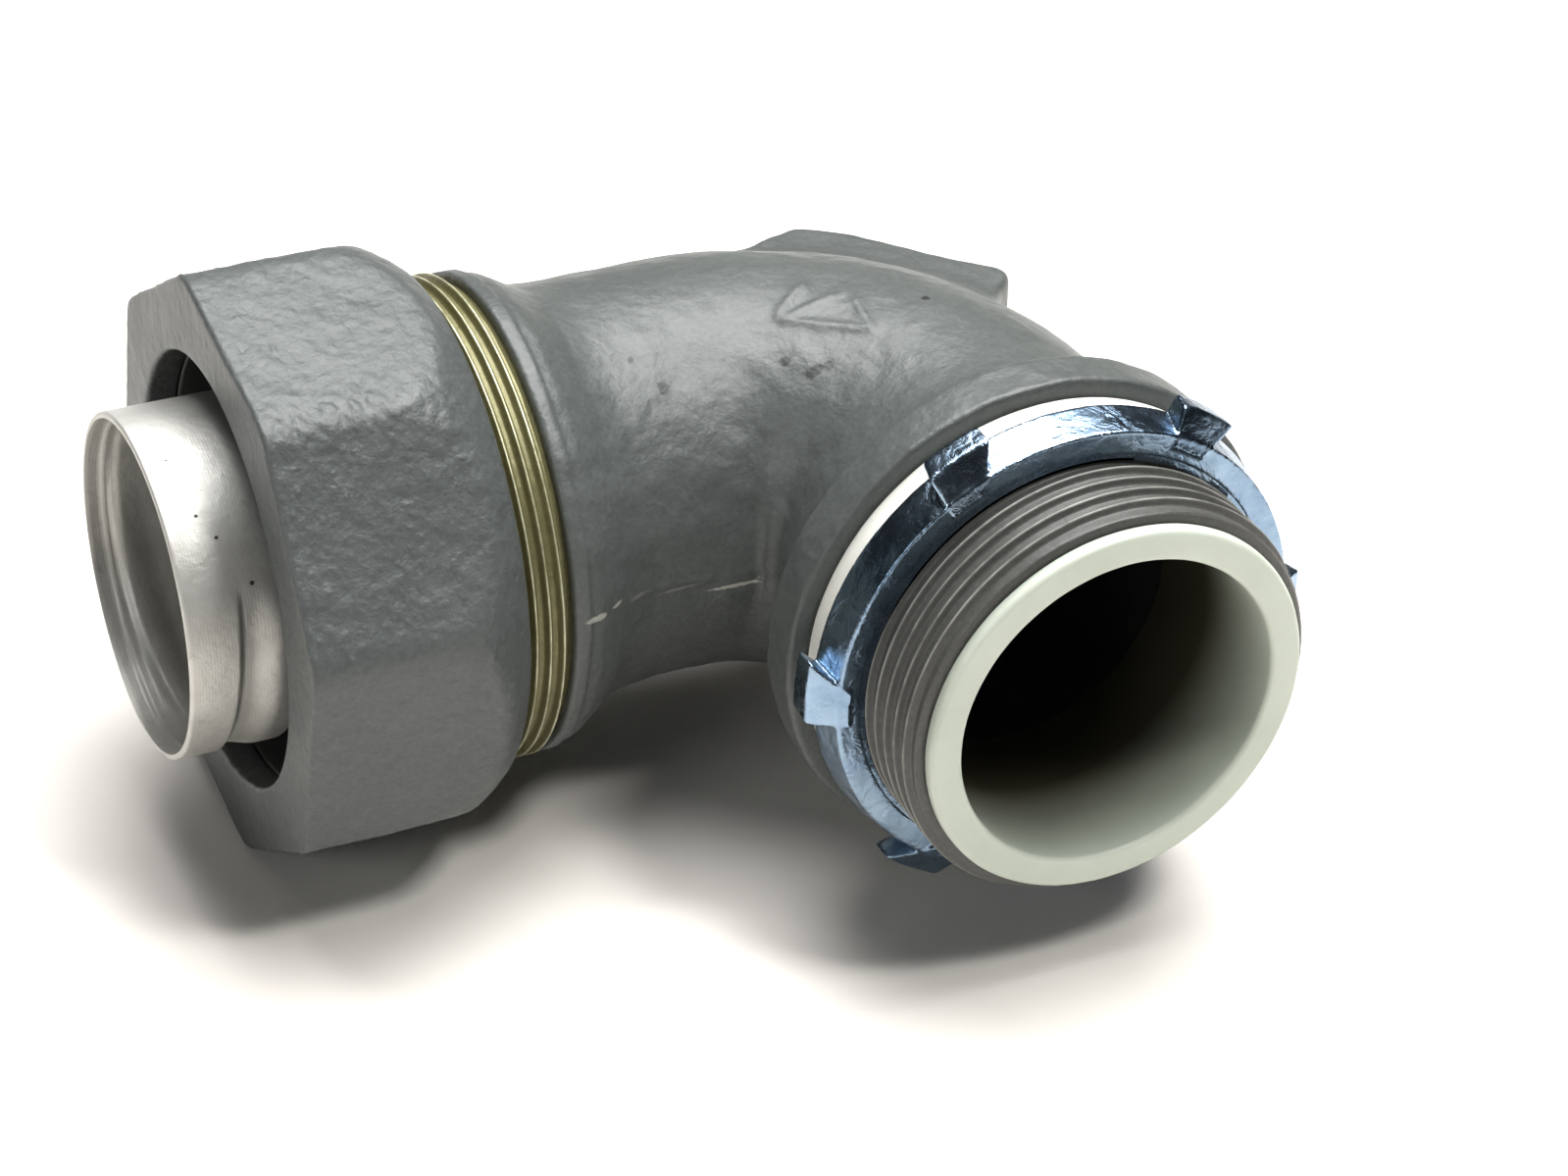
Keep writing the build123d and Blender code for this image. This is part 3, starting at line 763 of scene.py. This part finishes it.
def plastic(name, c0, c1, rough, sss, scale):
    mt, nt, bs, co = mat(name)
    col = ramp(nt, nz(nt, co, scale, 4, 0.55), [(0.3, c0), (0.7, c1)])
    nt.links.new(col, bs.inputs["Base Color"])
    nt.links.new(mth(nt, "ADD", mth(nt, "MULTIPLY", nz(nt, co, 220, 3), 0.15), rough), bs.inputs["Roughness"])
    bs.inputs["Subsurface Weight"].default_value = sss
    bs.inputs["Subsurface Radius"].default_value = (0.0012, 0.001, 0.0008)
    bs.inputs["Subsurface Scale"].default_value = 1.0
    bump(nt, bs, nz(nt, co, 500, 3, 0.5), 0.12, 0.0002)
    return mt


def dress(ob, mt):
    ob.data.materials.clear()
    ob.data.materials.append(mt)


dress(elbow, paint_body)
elbow.data.materials.append(bore_painted_shade())
me = elbow.data
cen = np.zeros(len(me.polygons) * 3)
me.polygons.foreach_get("center", cen)
cen = cen.reshape(-1, 3) * 1000
ps, po, pz = path_coords(cen)
# faces inside the passage and the hub seat get the painted-shade bore material
inside = (np.hypot(po, pz) < 19.7) | ((np.hypot(cen[:, 0], cen[:, 2]) < 20.6) & (cen[:, 1] < 3.8) & (cen[:, 1] > 0.3))
me.polygons.foreach_set("material_index", inside.astype(np.int32))
dress(barrel, chromate())
dress(hubb, paint_hub)
dress(nut, paint_nut)
dress(ferrule, aluminium())
zn = zinc()
dress(ln, zn)
dress(lnt, zn)
bmat = plastic("ivory_insulator", (0.53, 0.57, 0.505), (0.60, 0.64, 0.57), 0.36, 0.04, 60)
bnt = bmat.node_tree
bbs = [n for n in bnt.nodes if n.type == "BSDF_PRINCIPLED"][0]
bco = [n for n in bnt.nodes if n.type == "TEX_COORD"][0].outputs["Object"]
bsep = bnt.nodes.new("ShaderNodeSeparateXYZ")
bnt.links.new(bco, bsep.inputs[0])
# Painted shade: the liner's colour runs from ivory at the lip to dark brown 6.5 mm out of the flange face and further
# in, for the shade inside the hub
liner_depth_shade = mth(bnt, "DIVIDE", mth(bnt, "SUBTRACT", mth(bnt, "MULTIPLY", bsep.outputs[1], -1.0), 0.0065), 0.0135, clamp=True)
bsrc = bbs.inputs["Base Color"].links[0].from_socket
bnt.links.new(mix(bnt, liner_depth_shade, (0.075, 0.066, 0.042), bsrc), bbs.inputs["Base Color"])
dress(bush, bmat)
dress(seal, plastic("white_ring", (0.78, 0.77, 0.72), (0.84, 0.83, 0.78), 0.38, 0.05, 80))
# Painted shade: the inner ring is coloured near-black for the shade in the gap between the ferrule and the nut
dress(cring, plastic("nylon_in_painted_shade", (0.050, 0.052, 0.052), (0.070, 0.072, 0.070), 0.42, 0.0, 70))

# -------------------------------------------------------------------- stage
def stage():
    me = bpy.data.meshes.new("floor")
    z = -0.0336
    s = 3.0
    me.from_pydata([(-s, -s, z), (s, -s, z), (s, s, z), (-s, s, z)], [], [(0, 1, 2, 3)])
    ob = bpy.data.objects.new("floor", me)
    bpy.context.collection.objects.link(ob)
    mt, nt, bs, co = mat("floor_white")
    col = ramp(nt, nz(nt, co, 12, 2), [(0.3, (0.90, 0.86, 0.82)), (0.7, (0.93, 0.89, 0.85))])
    nt.links.new(col, bs.inputs["Base Color"])
    bs.inputs["Roughness"].default_value = 0.6
    me.materials.append(mt)


stage()


def area(name, loc, target, size, power, colour=(1, 1, 1)):
    d = bpy.data.lights.new(name, "AREA")
    d.shape = "RECTANGLE"
    d.size, d.size_y = size
    d.energy = power
    d.color = colour
    ob = bpy.data.objects.new(name, d)
    bpy.context.collection.objects.link(ob)
    ob.location = loc
    v = Vector(target) - Vector(loc)
    ob.rotation_euler = v.to_track_quat("-Z", "Y").to_euler()
    return ob


area("overhead", (0.20, 0.30, 1.10), (-0.02, 0.03, 0), (1.1, 0.9), 31, (1.0, 1.0, 1.0))
area("glint", (0.29, -0.43, 0.97), (-0.02, 0.03, 0), (0.20, 0.20), 5.5, (1.0, 1.0, 0.98))
area("side", (-0.88, -0.42, 0.48), (-0.05, 0.04, 0), (0.35, 0.35), 2.4, (0.97, 1.0, 1.0))
w = bpy.data.worlds.new("studio")
bpy.context.scene.world = w
w.use_nodes = True
w.node_tree.nodes["Background"].inputs[0].default_value = (0.93, 0.97, 1.0, 1)
w.node_tree.nodes["Background"].inputs[1].default_value = 0.04
bpy.context.scene.view_settings.view_transform = "Standard"
bpy.context.scene.view_settings.gamma = 0.80
